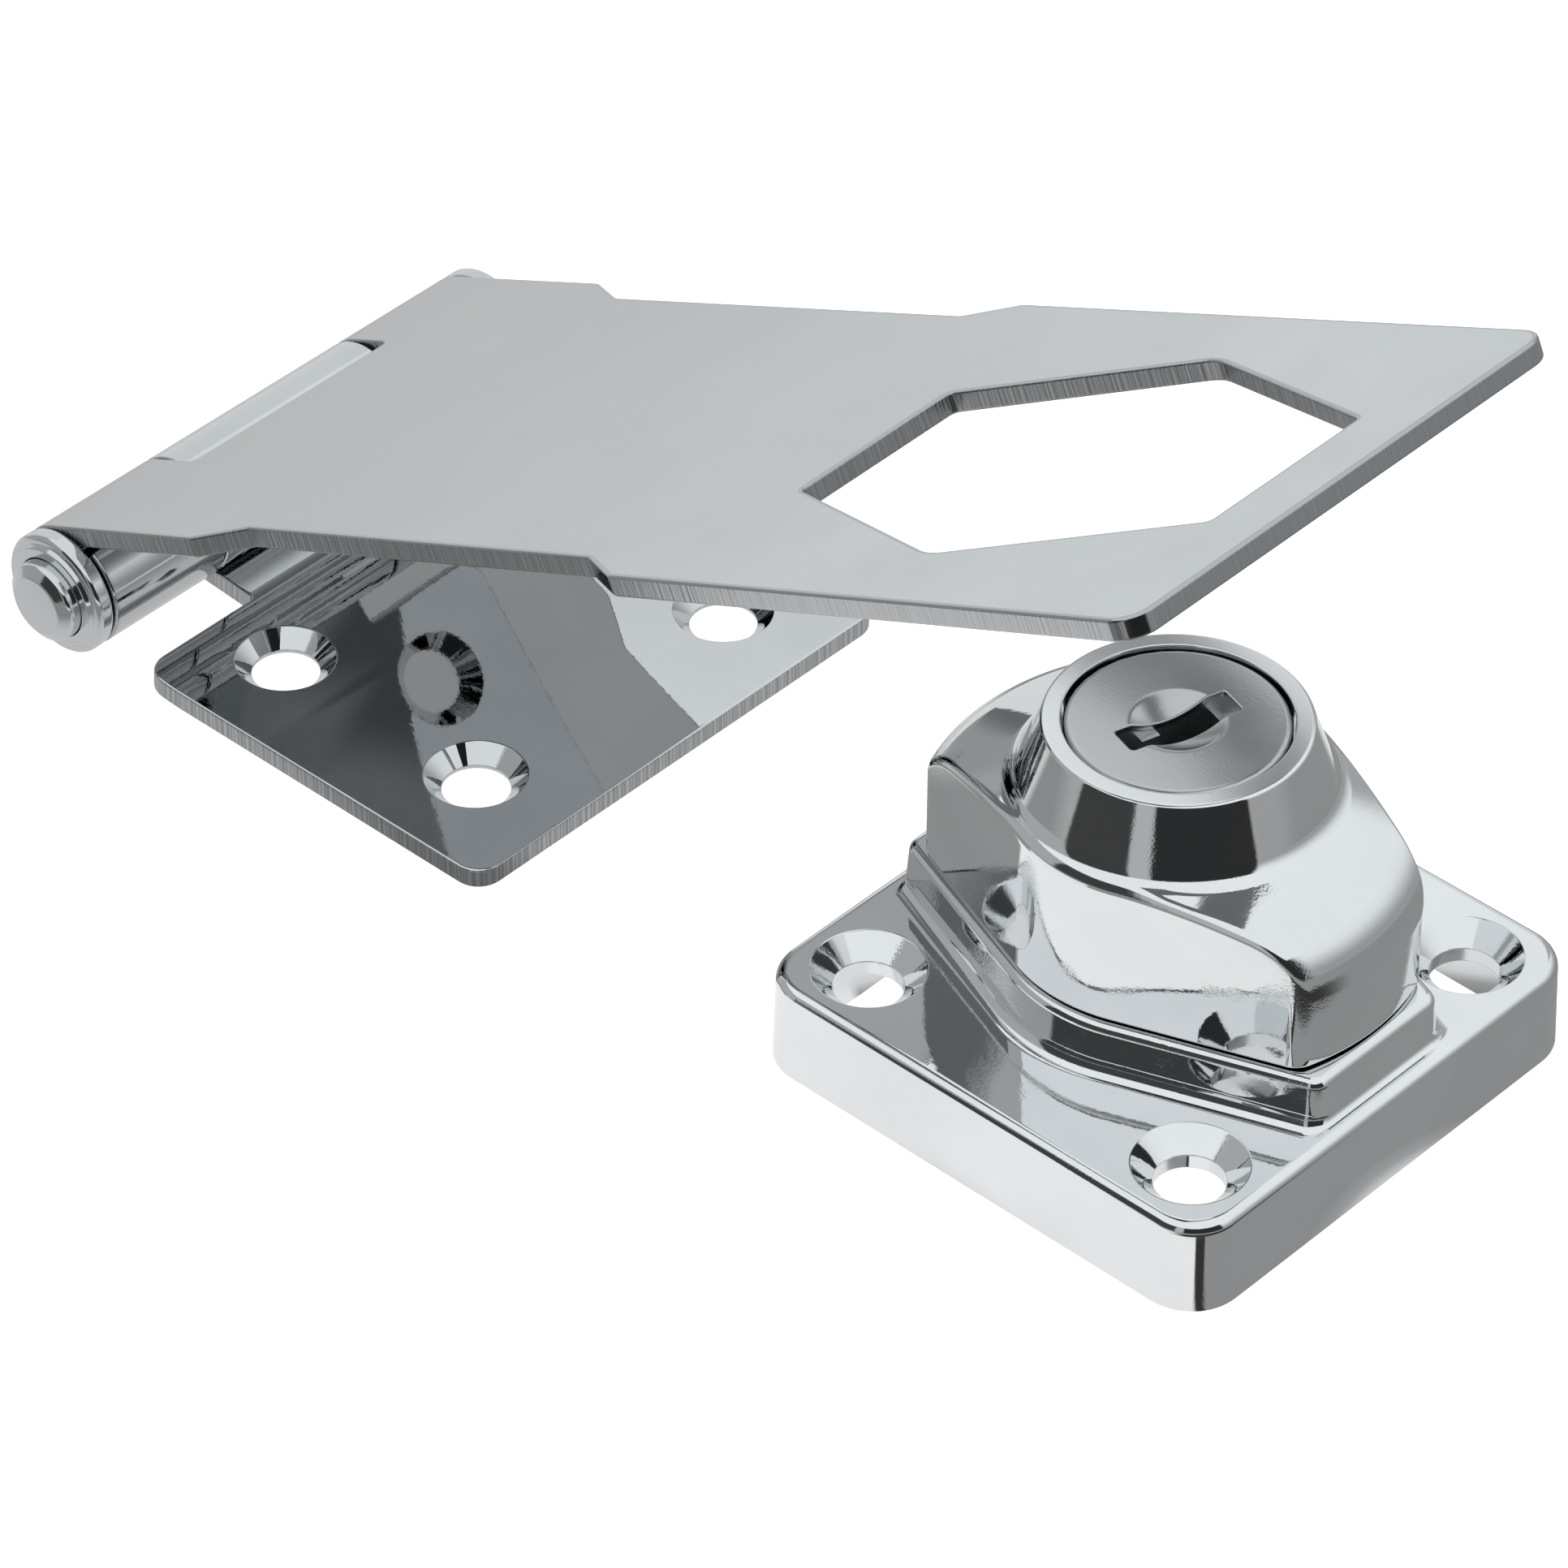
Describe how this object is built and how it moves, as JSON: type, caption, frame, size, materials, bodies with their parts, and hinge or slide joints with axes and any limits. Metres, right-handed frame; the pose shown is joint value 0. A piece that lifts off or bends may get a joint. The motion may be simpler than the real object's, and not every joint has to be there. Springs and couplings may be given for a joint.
{
  "type": "keyed hasp lock",
  "caption": "Hinged strap with a six-sided window that drops over a square lock base; its twist head turns across the window and a key plug bolts it there.",
  "frame": {"origin": "on the lock's axis, on the flat underside of the lock base, which is the surface that the part is screwed to", "axes": "+X from the hinge towards the free end of the closed strap, +Y along the hinge pin, +Z out of the mounting surface"},
  "size_m": [0.1102, 0.048, 0.0554],
  "materials": {
    "strap_plate": "satin chrome plate on steel",
    "leaf_plate": "bright chrome plate on steel",
    "pin": "bright chrome plate on steel",
    "base_casting": "bright chrome plate on zinc casting",
    "head_casting": "bright chrome plate on zinc casting",
    "face": "satin chrome plate on thin steel",
    "spring_steel": "zinc plated steel",
    "plug_zinc": "plain zinc casting",
    "wafer_nickel": "nickel plated brass"
  },
  "bodies": {
    "mounted": {"hinge_leaf": "leaf_plate", "hinge_pin": "pin", "pin_washer_near": "pin", "pin_washer_far": "pin", "lock_base": "base_casting", "wave_washer": "spring_steel"},
    "strap": {"hasp_strap": "strap_plate"},
    "head": {"lock_head": "head_casting", "stop_washer": "spring_steel", "retaining_ring": "spring_steel", "bolt_cover": "spring_steel"},
    "plug": {"plug": "plug_zinc", "plug_ring": "spring_steel", "face_cap": "face", "wafer_1": "wafer_nickel", "wafer_2": "wafer_nickel", "wafer_3": "wafer_nickel", "wafer_4": "wafer_nickel", "wafer_5": "wafer_nickel", "wafer_spring_1": "spring_steel", "wafer_spring_2": "spring_steel", "wafer_spring_3": "spring_steel", "wafer_spring_4": "spring_steel", "wafer_spring_5": "spring_steel"},
    "bolt": {"locking_bolt": "spring_steel"}
  },
  "joints": [
    {"name": "strap_hinge", "type": "hinge", "parent": "mounted", "child": "strap", "pos_m": [-0.0855, 0, 0.0055], "axis": [0, -1, 0], "range_deg": [-24.5, 155.5]},
    {"name": "head_turn", "type": "hinge", "parent": "mounted", "child": "head", "pos_m": [0, 0, 0.02], "axis": [0, 0, 1], "range_deg": [0, 90]},
    {"name": "key_turn", "type": "hinge", "parent": "head", "child": "plug", "pos_m": [0, 0, 0.02], "axis": [0, 0, 1], "range_deg": [0, 90]},
    {"name": "bolt_throw", "type": "slide", "parent": "head", "child": "bolt", "axis": [-1, 0, 0], "range_m": [0, 0.00226]}
  ],
  "couplings": [
    {"joint": "bolt_throw", "follows": "key_turn", "m_per_rad": 0.0014405}
  ]
}
